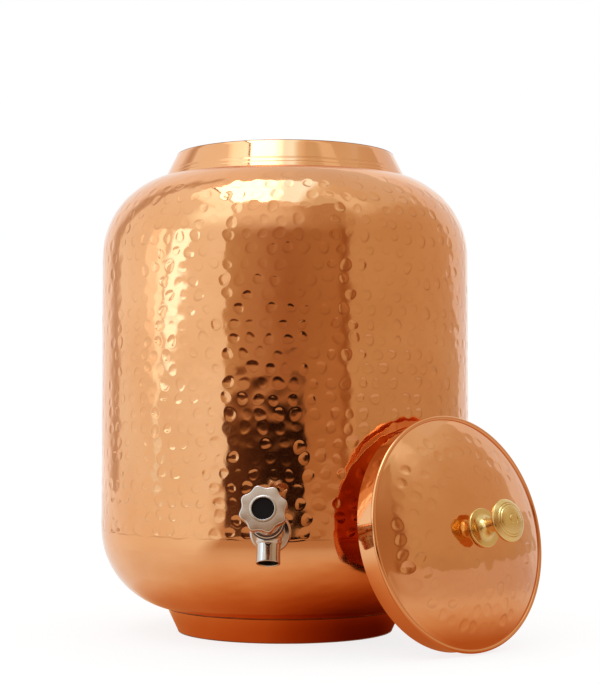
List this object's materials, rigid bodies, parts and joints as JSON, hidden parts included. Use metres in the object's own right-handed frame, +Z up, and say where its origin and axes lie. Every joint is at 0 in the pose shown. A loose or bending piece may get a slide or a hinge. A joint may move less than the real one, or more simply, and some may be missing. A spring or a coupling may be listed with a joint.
{
  "type": "water dispenser",
  "caption": "Footed copper water pot with hammered barrel, plain neck and bowl, a screw-down front tap, and a domed lid with a turned knob leaning on its side.",
  "frame": {"origin": "centre of the foot on the floor", "axes": "+Z up along the pot's axis, -Y towards the tap, +X to the right of someone facing the tap"},
  "size_m": [0.3242, 0.3442, 0.357],
  "materials": {
    "hammered_copper": null,
    "plain_copper": null,
    "brass": "turned and polished",
    "chrome": "bright plating",
    "dark_rubber": "matte",
    "pale_rubber": "matte silicone",
    "black_cap": "glossy"
  },
  "bodies": {
    "pot": {"barrel": "hammered_copper", "shoulder": "hammered_copper", "bottom_bowl": "plain_copper", "foot_ring": "plain_copper", "neck_collar": "plain_copper", "tap_body": "chrome", "tap_gasket_outer": "pale_rubber", "tap_gasket_inner": "dark_rubber", "tap_washer": "chrome", "tap_back_nut": "brass", "bonnet_seal": "dark_rubber", "bonnet": "chrome"},
    "tap_wheel": {"spindle": "brass", "spindle_o_ring": "dark_rubber", "spindle_clip": "chrome", "handwheel": "chrome", "handwheel_screw": "chrome", "handwheel_cap": "black_cap"},
    "tap_valve": {"valve_carrier": "brass", "valve_washer": "dark_rubber", "washer_screw": "brass"},
    "lid": {"lid_top": "hammered_copper", "lid_skirt": "plain_copper", "lid_knob": "brass", "knob_washer": "brass", "knob_screw": "brass"}
  },
  "joints": [
    {"name": "wheel_turn", "type": "hinge", "parent": "pot", "child": "tap_wheel", "pos_m": [0, -0.1525, 0.0859], "axis": [0, -0.9511, 0.309], "range_deg": [0, 720]},
    {"name": "valve_lift", "type": "slide", "parent": "pot", "child": "tap_valve", "axis": [0, -0.9511, 0.309], "range_m": [0, 0.004]},
    {"name": "lid_lift", "type": "slide", "parent": "pot", "child": "lid", "axis": [0.6885, -0.6958, 0.2045], "range_m": [0, 0.12]}
  ],
  "couplings": [
    {"joint": "valve_lift", "follows": "wheel_turn", "m_per_rad": 0.0003183}
  ]
}
